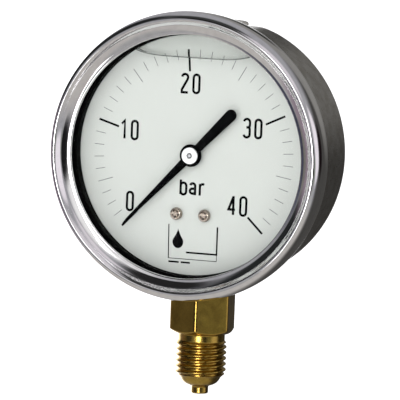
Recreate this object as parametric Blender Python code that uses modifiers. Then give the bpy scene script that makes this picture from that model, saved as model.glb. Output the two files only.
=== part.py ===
"""Liquid-filled pressure gauge, nominal size 63 mm, 0 to 40 bar, bottom connection.

Metres, +Z up. The origin is on the thread's axis at the sealing shoulder under the hexagon.
The stem points down, the dial faces -Y and +X is to the right of someone reading the dial.
Most parts are drawn in a front frame: x to the right, y up and z towards the reader.
"""

import math

import bmesh
import bpy

MM = 0.001

# Driving dimensions, in metres.
DIAL_HEIGHT = 43.0 * MM  # dial centre above the sealing shoulder
DIAL_FORWARD = 10.3 * MM  # dial face in front of the thread's axis
GAP = 0.3 * MM  # between pieces that touch
CASE_RADIUS = 31.0 * MM
CASE_BACK = 22.0 * MM  # depth of the back behind the dial face
CASE_CORNER = 3.5 * MM
SHEET = 0.7 * MM  # sheet steel of the case and the bezel ring
FLANGE_RADIUS = 32.1 * MM
BEZEL_RADIUS = 34.0 * MM
APERTURE_RADIUS = 28.4 * MM
DIAL_RADIUS = 29.4 * MM
DIAL_THICKNESS = 0.6 * MM
FLAT_HEIGHT = 29.6 * MM  # flat under the fill plug, above the dial centre
PLUG_BACK = 1.5 * MM  # fill plug's axis behind the thread's axis
PLUG_HOLE_RADIUS = 6.0 * MM
HEX_FLATS = 14.0 * MM
HEX_HEIGHT = 11.7 * MM
HEX_TURN = math.radians(8.2)  # how far one corner is turned from the front towards +X
THREAD_RADIUS = 6.0 * MM
NECK_RADIUS = 6.2 * MM
STEM_HOLE_RADIUS = NECK_RADIUS + GAP
BORE_RADIUS = 1.5 * MM
CARRIER = (10.5 * MM, 6.5 * MM)  # width and depth of the tube carrier
CARRIER_BOTTOM = 17.0 * MM
CARRIER_TOP = 27.0 * MM
SCREW_SPACING = 7.0 * MM  # between the two dial screws
SCREW_DROP = 14.0 * MM  # dial screws below the dial centre

# Depths of the movement's layers, as z in the front frame.
FRONT_PLATE = (-2.9 * MM, -2.1 * MM)
REAR_PLATE = (-6.75 * MM, -5.85 * MM)
SECTOR_LAYER = (-4.3 * MM, -3.6 * MM)
LINK_LAYER = (-5.3 * MM, -4.6 * MM)
SPRING_LAYER = (-5.5 * MM, -4.9 * MM)
TUBE_CENTRE = -DIAL_FORWARD

# Gear pair: the sector turns 30 degrees while the pointer turns 270.
MODULE = 0.25 * MM
PINION_TEETH = 12
SECTOR_TEETH = 108  # on the full circle
CENTRE_DISTANCE = MODULE * (PINION_TEETH + SECTOR_TEETH) / 2
SECTOR_BEARING = math.radians(-60)  # from the pinion to the sector's arbor
SECTOR_PIVOT = (
    CENTRE_DISTANCE * math.cos(SECTOR_BEARING),
    CENTRE_DISTANCE * math.sin(SECTOR_BEARING),
)
TAIL_RADIUS = 5.0 * MM
TAIL_BEARING = math.radians(-21.7)
LINK_PIVOT = (
    SECTOR_PIVOT[0] + TAIL_RADIUS * math.cos(TAIL_BEARING),
    SECTOR_PIVOT[1] + TAIL_RADIUS * math.sin(TAIL_BEARING),
)
TIP_PIVOT = (18.1 * MM, -9.6 * MM)
FLEX_CENTRE = (-14.2 * MM, 1.6 * MM)  # what the tube's free end turns about
PIVOT_PIN_RADIUS = 0.6 * MM

# Tube: an oval section bent round the dial's axis.
TUBE_RADIUS = 22.0 * MM
TUBE_SECTION = (2.4 * MM, 6.4 * MM)  # radial and axial size
TUBE_WALL = 0.3 * MM
TUBE_START = math.radians(-19)
TUBE_SWEEP = math.radians(273.5)

POINTER_ANGLE = math.radians(226.3)  # at rest, from the right, against the clock
POINTER_LAYER = (1.5 * MM, 1.9 * MM)

PARTS = "pressure_gauge"
CUTTERS = "cutters"


def clear_scene():
    for obj in list(bpy.data.objects):
        bpy.data.objects.remove(obj, do_unlink=True)
    for name in (PARTS, CUTTERS):
        bpy.context.scene.collection.children.link(bpy.data.collections.new(name))


def finish(name, colour, metallic, roughness):
    """A plain material with the piece's own colour."""
    material = bpy.data.materials.new(name)
    material.use_nodes = True
    shader = material.node_tree.nodes["Principled BSDF"]
    shader.inputs["Base Color"].default_value = (*colour, 1.0)
    shader.inputs["Metallic"].default_value = metallic
    shader.inputs["Roughness"].default_value = roughness
    material.diffuse_color = (*colour, 1.0)
    return material


def steel(name):
    return finish(name, (0.62, 0.63, 0.65), 1.0, 0.18)


def brass(name):
    return finish(name, (0.62, 0.48, 0.22), 1.0, 0.3)


def front_empty(name, x=0.0, y=0.0):
    """An empty on an axis parallel to the dial's, at x, y from the dial centre."""
    empty = bpy.data.objects.new(name, None)
    empty.empty_display_size = 5 * MM
    empty.location = (x, -DIAL_FORWARD, DIAL_HEIGHT + y)
    empty.rotation_euler = (math.pi / 2, 0, 0)
    bpy.data.collections[PARTS].objects.link(empty)
    return empty


def add(name, data, material=None, parent=None, at=(0.0, 0.0, 0.0)):
    """Puts new data in the scene. With no material it is a cutter."""
    obj = bpy.data.objects.new(name, data)
    obj.parent = parent
    obj.location = at
    if material is None:
        obj.hide_render = True
        obj.display_type = "WIRE"
        bpy.data.collections[CUTTERS].objects.link(obj)
    else:
        data.materials.append(material)
        bpy.data.collections[PARTS].objects.link(obj)
    return obj


def turned(name, profile, material=None, parent=None, at=(0, 0, 0), steps=48, loop=False):
    """Turns (radius, height) points about the local Z axis. A loop closes on itself."""
    mesh = bpy.data.meshes.new(name)
    edges = [(i, i + 1) for i in range(len(profile) - 1)]
    if loop:
        edges.append((len(profile) - 1, 0))
    mesh.from_pydata([(r, 0.0, z) for r, z in profile], edges, [])
    obj = add(name, mesh, material, parent, at)
    spin_profile(obj, math.tau, steps)
    return obj


def spin_profile(obj, angle, steps):
    screw = obj.modifiers.new("turn", "SCREW")
    screw.axis = "Z"
    screw.angle = angle
    screw.steps = steps
    screw.render_steps = steps
    screw.use_merge_vertices = True
    screw.merge_threshold = 0.001 * MM
    screw.use_smooth_shade = True


def ring(name, inner, outer, low, high, material=None, parent=None, at=(0, 0, 0), steps=32):
    profile = [(inner, high), (outer, high), (outer, low), (inner, low)]
    return turned(name, profile, material, parent, at, steps, loop=True)


def rod(name, radius, low, high, material=None, parent=None, at=(0, 0, 0), sides=24):
    """A cylinder along the local Z axis."""
    mesh = bpy.data.meshes.new(name)
    shape = bmesh.new()
    bmesh.ops.create_cone(
        shape, cap_ends=True, segments=sides, radius1=radius, radius2=radius, depth=high - low
    )
    bmesh.ops.translate(shape, vec=(0, 0, (low + high) / 2), verts=shape.verts)
    shape.to_mesh(mesh)
    shape.free()
    return add(name, mesh, material, parent, at)


def box(name, low, high, material=None, parent=None, turn=0.0):
    """A box between two corners, turned about the local Z axis."""
    mesh = bpy.data.meshes.new(name)
    shape = bmesh.new()
    bmesh.ops.create_cube(shape, size=1.0)
    size = [b - a for a, b in zip(low, high)]
    middle = [(a + b) / 2 for a, b in zip(low, high)]
    bmesh.ops.scale(shape, vec=size, verts=shape.verts)
    bmesh.ops.translate(shape, vec=middle, verts=shape.verts)
    shape.to_mesh(mesh)
    shape.free()
    obj = add(name, mesh, material, parent)
    obj.rotation_euler.z = turn
    return obj


def stamped(name, outlines, layer, material=None, parent=None, turn=0.0):
    """A flat piece: the first outline is its edge and the others are holes."""
    curve = bpy.data.curves.new(name, "CURVE")
    curve.dimensions = "2D"
    curve.fill_mode = "BOTH"
    curve.extrude = (layer[1] - layer[0]) / 2
    for outline in outlines:
        spline = curve.splines.new("POLY")
        spline.points.add(len(outline) - 1)
        for point, (x, y) in zip(spline.points, outline):
            point.co = (x, y, 0, 1)
        spline.use_cyclic_u = True
    obj = add(name, curve, material, parent, (0, 0, (layer[0] + layer[1]) / 2))
    obj.rotation_euler.z = turn
    return obj


def as_mesh(obj):
    """The same object as a welded mesh, so that a Boolean can take it."""
    bpy.context.view_layer.update()
    graph = bpy.context.evaluated_depsgraph_get()
    mesh = bpy.data.meshes.new_from_object(obj.evaluated_get(graph))
    shape = bmesh.new()
    shape.from_mesh(mesh)
    bmesh.ops.remove_doubles(shape, verts=shape.verts, dist=0.001 * MM)
    shape.to_mesh(mesh)
    shape.free()
    new = bpy.data.objects.new(obj.name, mesh)
    new.parent = obj.parent
    new.matrix_local = obj.matrix_local
    for collection in obj.users_collection:
        collection.objects.link(new)
    new.hide_render = obj.hide_render
    new.display_type = obj.display_type
    name = obj.name
    bpy.data.objects.remove(obj)
    new.name = name
    return new


def combine(obj, other, operation, solver="EXACT"):
    step = obj.modifiers.new(other.name, "BOOLEAN")
    step.operation = operation
    step.solver = solver
    step.object = other


def cut(obj, *others, solver="EXACT"):
    for other in others:
        combine(obj, other, "DIFFERENCE", solver)


def circle(radius, x=0.0, y=0.0, sides=24):
    angles = [math.tau * i / sides for i in range(sides)]
    return [(x + radius * math.cos(a), y + radius * math.sin(a)) for a in angles]


def hull(points):
    """The convex outline round the points, against the clock."""

    def half(ordered):
        chain = []
        for p in ordered:
            while len(chain) > 1 and turn_of(chain[-2], chain[-1], p) <= 0:
                chain.pop()
            chain.append(p)
        return chain[:-1]

    def turn_of(a, b, c):
        return (b[0] - a[0]) * (c[1] - a[1]) - (b[1] - a[1]) * (c[0] - a[0])

    ordered = sorted(points)
    return half(ordered) + half(ordered[::-1])


def plate_outline(radius, centres):
    """A plate with a round corner about each centre."""
    return hull([p for x, y in centres for p in circle(radius, x, y, 16)])


def polar(radius, angle):
    return (radius * math.cos(angle), radius * math.sin(angle))


def teeth(pitch_radius, full_count, indexes, middle):
    """Tooth corners, against the clock. Each flank leans in, with room for backlash."""
    addendum = 0.8 * MODULE
    dedendum = 1.25 * MODULE
    points = []
    for i in indexes:
        centre = middle + math.tau * i / full_count
        for height, width, side in (
            (-dedendum, 1.9, -1),
            (addendum, 0.6, -1),
            (addendum, 0.6, 1),
            (-dedendum, 1.9, 1),
        ):
            half_angle = side * width * MODULE / 2 / pitch_radius
            points.append(polar(pitch_radius + height, centre + half_angle))
    return points


def arc(radius, start, end, count, x=0.0, y=0.0):
    """Points along an arc from one angle to another, both ends included."""
    steps = [start + (end - start) * i / (count - 1) for i in range(count)]
    return [(x + radius * math.cos(a), y + radius * math.sin(a)) for a in steps]


def make_case(front):
    """Drawn steel cup with a flange in front, a flat for the fill plug and a stem hole."""

    def cup(name, radius, back, corner, mouth, material=None):
        middle = (radius - corner, -back + corner)
        profile = [(0, mouth), (radius, mouth)]
        profile += arc(corner, 0, -math.pi / 2, 5, *middle)
        profile += [(0, -back)]
        return turned(name, profile, material, front, steps=48)

    flange_back = 0.5 * MM
    flange_front = 1.1 * MM
    mouth = (flange_back + flange_front) / 2
    case = cup("case", CASE_RADIUS, CASE_BACK, CASE_CORNER, mouth, steel("case"))
    inner_radius = CASE_RADIUS - SHEET
    flange = ring(
        "case_flange", inner_radius - MM, FLANGE_RADIUS, flange_back, flange_front, None, front,
        steps=48,
    )
    hollow = cup(
        "case_hollow", inner_radius, CASE_BACK - SHEET, CASE_CORNER - SHEET, flange_front + GAP
    )
    flat_start = -1.65 * MM
    wide = CASE_RADIUS
    top = CASE_RADIUS + 4 * MM
    outer_flat = box(
        "flat_outside", (-wide, FLAT_HEIGHT, -wide), (wide, top, flat_start), None, front
    )
    inner_flat = box(
        "flat_inside", (-wide, FLAT_HEIGHT - SHEET, -wide), (wide, top, flat_start + SHEET),
        None, front,
    )
    cut(hollow, inner_flat, solver="MANIFOLD")
    stem_hole = rod("stem_hole", STEM_HOLE_RADIUS, 5 * MM, 20 * MM, sides=40)
    plug_hole = rod(
        "plug_hole", PLUG_HOLE_RADIUS, DIAL_HEIGHT + 20 * MM, DIAL_HEIGHT + 35 * MM,
        at=(0, PLUG_BACK, 0), sides=40,
    )
    combine(case, flange, "UNION", "MANIFOLD")
    cut(case, outer_flat, hollow, stem_hole, plug_hole, solver="MANIFOLD")


def make_bezel(front):
    """Rolled steel ring. It grips the window and its gasket against the case's flange."""
    lip_front = 6.2 * MM
    profile = [(APERTURE_RADIUS, 4.95 * MM), (APERTURE_RADIUS, lip_front)]
    profile += [
        (28.7 * MM, 6.55 * MM),
        (29.6 * MM, 6.45 * MM),
        (30.6 * MM, 6.95 * MM),
        (31.4 * MM, 7.75 * MM),
        (32.2 * MM, 8.05 * MM),
        (33.1 * MM, 7.5 * MM),
        (33.75 * MM, 6.2 * MM),
        (BEZEL_RADIUS, 4.55 * MM),
        (33.9 * MM, 2.8 * MM),
        (33.6 * MM, 1.0 * MM),
        (32.9 * MM, -0.1 * MM),
        (32.0 * MM, -0.5 * MM),
    ]
    bezel = turned("bezel_ring", profile, steel("bezel_ring"), front, steps=48)
    wall = bezel.modifiers.new("sheet", "SOLIDIFY")
    wall.thickness = SHEET
    wall.offset = -1
    wall.use_even_offset = True


def make_window(front):
    low = 3.1 * MM
    high = 4.6 * MM
    radius = 30.0 * MM
    glass = finish("window", (0.9, 0.94, 0.93), 0.0, 0.03)
    profile = [(0, high), (radius, high), (radius, low), (0, low)]
    turned("window", profile, glass, front, steps=48)
    rubber = finish("window_gasket", (0.03, 0.03, 0.03), 0.0, 0.5)
    section = [
        (29.4 * MM, 5.3 * MM),
        (32.3 * MM, 5.3 * MM),
        (32.3 * MM, 1.4 * MM),
        (30.0 * MM, 1.4 * MM),
        (30.0 * MM, GAP),
        (APERTURE_RADIUS, GAP),
        (APERTURE_RADIUS, low - GAP),
        (radius + GAP, low - GAP),
        (radius + GAP, high + GAP),
        (29.4 * MM, high + GAP),
    ]
    turned("window_gasket", section, rubber, front, steps=48, loop=True)


def screw_spots():
    return [(side * SCREW_SPACING / 2, -SCREW_DROP) for side in (-1, 1)]


def make_dial(front):
    enamel = finish("dial", (0.72, 0.76, 0.71), 0.0, 0.45)
    holes = [circle(1.6 * MM)] + [circle(1.0 * MM, x, y) for x, y in screw_spots()]
    outline = circle(DIAL_RADIUS, sides=48)
    stamped("dial", [outline, *holes], (-DIAL_THICKNESS, 0), enamel, front)
    for number, spot in enumerate(screw_spots(), 1):
        low = FRONT_PLATE[1] + GAP
        high = -DIAL_THICKNESS - GAP
        name = f"dial_spacer_{number}"
        ring(name, 1.0 * MM, 1.6 * MM, low, high, brass(name), front, (*spot, 0), 20)
        slotted_screw(f"dial_screw_{number}", 1.5, 0.7, GAP, -3.2 * MM, front, spot)


def slotted_screw(name, head_mm, shank_mm, seat, end, parent, spot, finish_of=steel):
    """A pan-head screw whose head stands on the seat and whose shank ends at end."""
    head = head_mm * MM
    shank = shank_mm * MM
    top = seat + 0.6 * head
    profile = [
        (0, top),
        (0.65 * head, top),
        (0.93 * head, top - 0.2 * head),
        (head, seat),
        (shank, seat),
        (shank, end),
        (0, end),
    ]
    screw = turned(name, profile, finish_of(name), parent, (*spot, 0), 20)
    x, y = spot
    half = 0.14 * head
    slot = box(
        name + "_slot", (x - 2 * head, y - half, top - 0.25 * head),
        (x + 2 * head, y + half, top + head), None, parent,
    )
    cut(screw, slot)


def pillar_spots():
    return [(-8.0 * MM, 1.5 * MM), (-6.5 * MM, -15.5 * MM), (13.5 * MM, -6.0 * MM)]


def carrier_screw_spots():
    return [(-3.2 * MM, -21.0 * MM), (3.2 * MM, -21.0 * MM)]


def make_movement_frame(front):
    """Two brass plates on three pillars, screwed to the tube carrier."""
    pivots = [circle(0.9 * MM), circle(0.9 * MM, *SECTOR_PIVOT)]
    pillars = pillar_spots()
    pillar_holes = [circle(0.9 * MM, x, y) for x, y in pillars]
    upper = [(0, 3 * MM), (3.5 * MM, -14.5 * MM), SECTOR_PIVOT]
    dial_holes = [circle(1.0 * MM, x, y) for x, y in screw_spots()]
    stamped(
        "movement_front_plate",
        [plate_outline(2.4 * MM, pillars + upper), *pivots, *pillar_holes, *dial_holes],
        FRONT_PLATE, brass("movement_front_plate"), front,
    )
    fixings = carrier_screw_spots()
    fixing_holes = [circle(1.2 * MM, x, y) for x, y in fixings]
    stamped(
        "movement_rear_plate",
        [plate_outline(2.4 * MM, pillars + [(0, 3 * MM)] + fixings), *pivots, *pillar_holes,
         *fixing_holes],
        REAR_PLATE, brass("movement_rear_plate"), front,
    )
    for number, spot in enumerate(pillars, 1):
        name = f"plate_pillar_{number}"
        low = REAR_PLATE[1] + GAP
        high = FRONT_PLATE[0] - GAP
        ring(name, 0.9 * MM, 1.5 * MM, low, high, brass(name), front, (*spot, 0), 20)
        slotted_screw(
            f"plate_screw_{number}", 1.3, 0.6, FRONT_PLATE[1] + GAP / 2, -6.6 * MM, front, spot,
            brass,
        )
    for number, spot in enumerate(fixings, 1):
        slotted_screw(
            f"carrier_screw_{number}", 1.5, 0.9, REAR_PLATE[1] + GAP, -9.5 * MM, front, spot
        )


def make_sector(axis):
    """Toothed quadrant with a tail. Its points go round the arbor in order of angle."""
    first = -11
    last = 2
    rest_bearing = SECTOR_BEARING + math.pi
    pitch_radius = MODULE * SECTOR_TEETH / 2
    hub = 2.4 * MM
    outline = teeth(pitch_radius, SECTOR_TEETH, range(first, last + 1), rest_bearing)
    edge_after = rest_bearing + math.radians(18)
    edge_before = rest_bearing - math.radians(50)
    tail_open = math.radians(28)
    outline += arc(hub, edge_after, TAIL_BEARING + math.tau - tail_open, 9)
    outline += arc(
        1.4 * MM, TAIL_BEARING - math.pi / 2, TAIL_BEARING + math.pi / 2, 9,
        *polar(TAIL_RADIUS, TAIL_BEARING),
    )
    outline += arc(hub, TAIL_BEARING + tail_open, edge_before, 4)
    pin_hole = circle(0.75 * MM, *polar(TAIL_RADIUS, TAIL_BEARING))
    stamped(
        "sector_gear", [outline, circle(0.9 * MM), pin_hole], SECTOR_LAYER,
        brass("sector_gear"), axis,
    )
    rod("sector_arbor", PIVOT_PIN_RADIUS, -6.6 * MM, -2.2 * MM, steel("sector_arbor"), axis)
    tail = polar(TAIL_RADIUS, TAIL_BEARING)
    top = SECTOR_LAYER[1]
    shoulder_screw(
        "sector_link_screw", 1.15 * MM, top + 0.1 * MM, top + 0.5 * MM, LINK_LAYER[0] - GAP,
        axis, tail,
    )


def shoulder_screw(name, head, low, high, end, parent, spot):
    profile = [(0, high), (head, high), (head, low)]
    profile += [(PIVOT_PIN_RADIUS, low), (PIVOT_PIN_RADIUS, end), (0, end)]
    turned(name, profile, steel(name), parent, (*spot, 0), 20)


def make_link(axis):
    """Flat bar from the sector's tail to the tube's free end, drawn from its own pivot."""
    reach = (TIP_PIVOT[0] - LINK_PIVOT[0], TIP_PIVOT[1] - LINK_PIVOT[1])
    outline = plate_outline(1.5 * MM, [(0, 0), reach])
    eye = circle(1.0 * MM, *reach)
    stamped("link", [outline, circle(0.75 * MM), eye], LINK_LAYER, brass("link"), axis)


def make_tube(front):
    """Thin-walled oval tube, open at the carrier and shut by the end piece."""
    radial, axial = TUBE_SECTION
    half = radial / 2
    straight = axial / 2 - half
    section = arc(half, 0, math.pi, 6, TUBE_RADIUS, TUBE_CENTRE + straight)
    section += arc(half, math.pi, math.tau, 6, TUBE_RADIUS, TUBE_CENTRE - straight)
    section = section[::-1]
    mesh = bpy.data.meshes.new("bourdon_tube")
    edges = [(i, (i + 1) % len(section)) for i in range(len(section))]
    mesh.from_pydata([(r, 0.0, z) for r, z in section], edges, [])
    tube = add("bourdon_tube", mesh, brass("bourdon_tube"), front)
    tube.rotation_euler.z = TUBE_START
    spin_profile(tube, TUBE_SWEEP, 30)
    wall = tube.modifiers.new("wall", "SOLIDIFY")
    wall.thickness = TUBE_WALL
    wall.offset = -1


def make_tip(axis):
    """End piece of the tube, with an ear and a pin for the link."""
    shift = (-FLEX_CENTRE[0], -FLEX_CENTRE[1])
    bearing = math.radians(-23.5)
    size = (3.4 * MM, 2.8 * MM, TUBE_SECTION[1])
    middle = polar(TUBE_RADIUS, bearing)
    block = box(
        "tube_end_piece",
        (-size[0] / 2, -size[1] / 2, TUBE_CENTRE - size[2] / 2),
        (size[0] / 2, size[1] / 2, TUBE_CENTRE + size[2] / 2),
        brass("tube_end_piece"), axis, bearing,
    )
    block.location = (middle[0] + shift[0], middle[1] + shift[1], 0)
    pin = (TIP_PIVOT[0] + shift[0], TIP_PIVOT[1] + shift[1])
    ear_front = TUBE_CENTRE + size[2] / 2
    ear = stamped(
        "tip_ear", [plate_outline(1.7 * MM, [pin, block.location[:2]])],
        (ear_front - 1.2 * MM, ear_front), None, axis,
    )
    combine(block, as_mesh(ear), "UNION")
    pin_hole = rod("tip_pin_hole", 0.9 * MM, -15 * MM, -5 * MM, None, axis, (*pin, 0))
    cut(block, pin_hole)
    head = 1.4 * MM
    back = ear_front - 2.0 * MM
    washer = LINK_LAYER[1] + 0.15 * MM
    profile = [
        (0, washer + 0.4 * MM),
        (head, washer + 0.4 * MM),
        (head, washer),
        (PIVOT_PIN_RADIUS, washer),
        (PIVOT_PIN_RADIUS, back),
        (0, back),
    ]
    turned("tip_pin", profile, steel("tip_pin"), axis, (*pin, 0), 20)


def make_pointer(axis):
    """Pointer, its bush, the pinion arbor and the hairspring's collet turn together."""
    ring_radius = 2.65 * MM
    tail_end = 15.3 * MM
    tail_half = 1.35 * MM
    join = math.acos(0.95 * MM / ring_radius)
    outline = [(23.7 * MM, -0.1 * MM), (23.7 * MM, 0.1 * MM), (22.3 * MM, 0.28 * MM)]
    outline += arc(ring_radius, math.pi / 2 - join, math.pi / 2 + join, 9)
    outline += arc(tail_half, math.pi / 2, 3 * math.pi / 2, 9, tail_half - tail_end, 0)
    outline += arc(ring_radius, -math.pi / 2 - join, -math.pi / 2 + join, 9)
    outline += [(22.3 * MM, -0.28 * MM)]
    black = finish("pointer", (0.02, 0.02, 0.02), 0.0, 0.6)
    stamped("pointer", [outline, circle(1.5 * MM)], POINTER_LAYER, black, axis, POINTER_ANGLE)
    seat = POINTER_LAYER[1] + GAP
    profile = [
        (0.65 * MM, seat + 0.5 * MM),
        (1.75 * MM, seat + 0.5 * MM),
        (1.95 * MM, seat + 0.3 * MM),
        (1.95 * MM, seat),
        (1.2 * MM, seat),
        (1.2 * MM, 0.4 * MM),
        (0.65 * MM, 0.4 * MM),
    ]
    turned("pointer_hub", profile, steel("pointer_hub"), axis, steps=32, loop=True)
    gap_bearing = SECTOR_BEARING
    pitch_radius = MODULE * PINION_TEETH / 2
    middle = gap_bearing + math.pi / PINION_TEETH
    outline = teeth(pitch_radius, PINION_TEETH, range(PINION_TEETH), middle)
    pinion = stamped("pinion", [outline], (-4.45 * MM, -3.45 * MM), None, axis)
    arbor = turned(
        "pinion_arbor",
        [(0, 2.6 * MM), (0.35 * MM, 2.6 * MM), (0.35 * MM, 0.2 * MM), (0.5 * MM, 0),
         (0.5 * MM, -6.6 * MM), (0, -6.6 * MM)],
        steel("pinion_arbor"), axis, steps=20,
    )
    combine(arbor, as_mesh(pinion), "UNION")
    ring(
        "hairspring_collet", 0.8 * MM, 1.3 * MM, *SPRING_LAYER, brass("hairspring_collet"), axis,
        steps=20,
    )


def make_hairspring(front):
    """Flat spiral from the collet to the stud, as a fine wire of four turns."""
    turns = 4
    per_turn = 24
    inner = 1.75 * MM
    outer = 5.2 * MM
    end_bearing = math.radians(100)
    wire = 0.13 * MM
    level = sum(SPRING_LAYER) / 2
    curve = bpy.data.curves.new("hairspring", "CURVE")
    curve.dimensions = "3D"
    curve.bevel_depth = wire
    curve.bevel_resolution = 0
    curve.use_fill_caps = True
    spline = curve.splines.new("POLY")
    count = turns * per_turn
    spline.points.add(count)
    for i, point in enumerate(spline.points):
        along = i / count
        radius = inner + (outer - inner) * along
        x, y = polar(radius, end_bearing - math.tau * turns * (1 - along))
        point.co = (x, y, level, 1)
    add("hairspring", curve, steel("hairspring"), front)
    x, y = polar(outer, end_bearing)
    side = 0.5 * MM
    clear = wire + GAP
    box(
        "hairspring_stud", (x - clear - 2 * side, y - side, SPRING_LAYER[0]),
        (x - clear, y + side, SPRING_LAYER[1] + 0.1 * MM), brass("hairspring_stud"), front,
    )


def make_socket():
    """One brass piece: nose, thread, hexagon, neck and the carrier that holds the tube."""
    relief = 5.5 * MM
    nose = [
        (0, 1.0 * MM),
        (relief, 1.0 * MM),
        (relief, -1.8 * MM),
        (THREAD_RADIUS - 0.3 * MM, -1.9 * MM),
        (THREAD_RADIUS, -2.4 * MM),
        (THREAD_RADIUS, -9.7 * MM),
        (5.2 * MM, -10.3 * MM),
        (4.8 * MM, -10.6 * MM),
        (4.5 * MM, -11.3 * MM),
        (3.6 * MM, -12.2 * MM),
        (2.1 * MM, -12.8 * MM),
        (2.0 * MM, -14.3 * MM),
        (1.85 * MM, -14.5 * MM),
        (0, -14.5 * MM),
    ]
    socket = turned("socket", nose, brass("socket"), steps=48)
    hexagon = rod("hexagon", HEX_FLATS / math.sqrt(3), 0, HEX_HEIGHT, sides=6)
    hexagon.rotation_euler.z = HEX_TURN
    wide = HEX_FLATS / math.sqrt(3) + 0.1 * MM
    barrel = [(0, HEX_HEIGHT + MM), (wide, HEX_HEIGHT + MM), (wide, 1.1 * MM)]
    barrel += [(6.2 * MM, -0.2 * MM), (0, -0.2 * MM)]
    combine(hexagon, turned("hexagon_chamfer", barrel, steps=48), "INTERSECT")
    neck = rod("neck", NECK_RADIUS, HEX_HEIGHT - MM, CARRIER_BOTTOM + 0.2 * MM, sides=40)
    half = (CARRIER[0] / 2, CARRIER[1] / 2)
    carrier = box(
        "carrier", (-half[0], -half[1], CARRIER_BOTTOM), (half[0], half[1], CARRIER_TOP)
    )
    for piece in (hexagon, neck, carrier):
        combine(socket, piece, "UNION")
    bore_top = DIAL_HEIGHT - TUBE_RADIUS
    bore = rod("pressure_bore", BORE_RADIUS, -15 * MM, bore_top + MM)
    channel = rod("tube_channel", 1.0 * MM, 0, 8 * MM)
    channel.rotation_euler.y = -math.pi / 2
    channel.location.z = bore_top
    cut(socket, bore, channel)
    for number, (x, y) in enumerate(carrier_screw_spots(), 1):
        hole = rod(f"carrier_hole_{number}", 1.2 * MM, 0, 3.6 * MM, sides=20)
        hole.location = (x, -half[1] + 3.5 * MM, DIAL_HEIGHT + y)
        hole.rotation_euler.x = math.pi / 2
        cut(socket, hole)
    ring(
        "restrictor", 0.3 * MM, BORE_RADIUS - GAP, -13.8 * MM, -9.8 * MM, brass("restrictor"),
        steps=24,
    )


def make_stem_fixing(front):
    """A saddle seal and a thin nut clamp the case wall to the hexagon from inside."""
    rubber = finish("stem_seal", (0.04, 0.04, 0.04), 0.0, 0.6)
    nut_bottom = 14.8 * MM
    seal = ring("stem_seal", STEM_HOLE_RADIUS, 9.0 * MM, 10 * MM, nut_bottom - GAP, rubber)
    inside = rod(
        "case_inside", CASE_RADIUS - SHEET - GAP, -20 * MM, -1 * MM, None, front, sides=48
    )
    combine(seal, inside, "INTERSECT")
    nut = rod("stem_nut", 9.6 * MM, nut_bottom, nut_bottom + 1.9 * MM, brass("stem_nut"), sides=6)
    nut_bore = rod("stem_nut_bore", STEM_HOLE_RADIUS, 10 * MM, 20 * MM, sides=40)
    cut(nut, nut_bore)


def make_fill_plug():
    """Soft plug with a wide head. It pulls straight up out of the case."""
    rubber = finish("fill_plug", (0.62, 0.6, 0.55), 0.0, 0.6)
    seat = DIAL_HEIGHT + FLAT_HEIGHT + GAP
    head = 7.8 * MM
    neck = PLUG_HOLE_RADIUS - GAP
    profile = [
        (0, seat + 0.7 * MM),
        (2.6 * MM, seat + 0.7 * MM),
        (2.9 * MM, seat + MM),
        (head - 0.5 * MM, seat + MM),
        (head, seat + 0.5 * MM),
        (head, seat),
        (neck, seat),
        (neck, seat - 3.0 * MM),
        (neck - 0.6 * MM, seat - 3.8 * MM),
        (neck - 1.6 * MM, seat - 3.8 * MM),
        (neck - 1.6 * MM, seat - 0.4 * MM),
        (0, seat - 0.4 * MM),
    ]
    turned("fill_plug", profile, rubber, at=(0, PLUG_BACK, 0), steps=40)


def shade():
    """Round pieces look round, and edges over 30 degrees stay sharp."""
    for obj in bpy.data.collections[PARTS].objects:
        if obj.type == "MESH":
            obj.data.shade_smooth()
            obj.data.set_sharp_from_angle(angle=math.radians(30))


def main():
    clear_scene()
    front = front_empty("dial_axis")
    make_case(front)
    make_bezel(front)
    make_window(front)
    make_dial(front)
    make_movement_frame(front)
    make_sector(front_empty("sector_axis", *SECTOR_PIVOT))
    make_link(front_empty("link_axis", *LINK_PIVOT))
    make_tube(front)
    make_tip(front_empty("tip_axis", *FLEX_CENTRE))
    make_pointer(front_empty("pointer_axis"))
    make_hairspring(front)
    make_socket()
    make_stem_fixing(front)
    make_fill_plug()
    shade()


main()
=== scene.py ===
"""A liquid-filled pressure gauge with a bottom stem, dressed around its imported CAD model.

Each section is one piece or one group of like pieces, in the order in which the gauge is put
together. Pieces of the dial side are drawn in millimetres in the dial's own frame: x to the right,
y up and z towards the reader, from the centre of the dial's face.
"""

import math

import bmesh
import bpy
import numpy as np
from mathutils import Matrix, Vector


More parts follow.
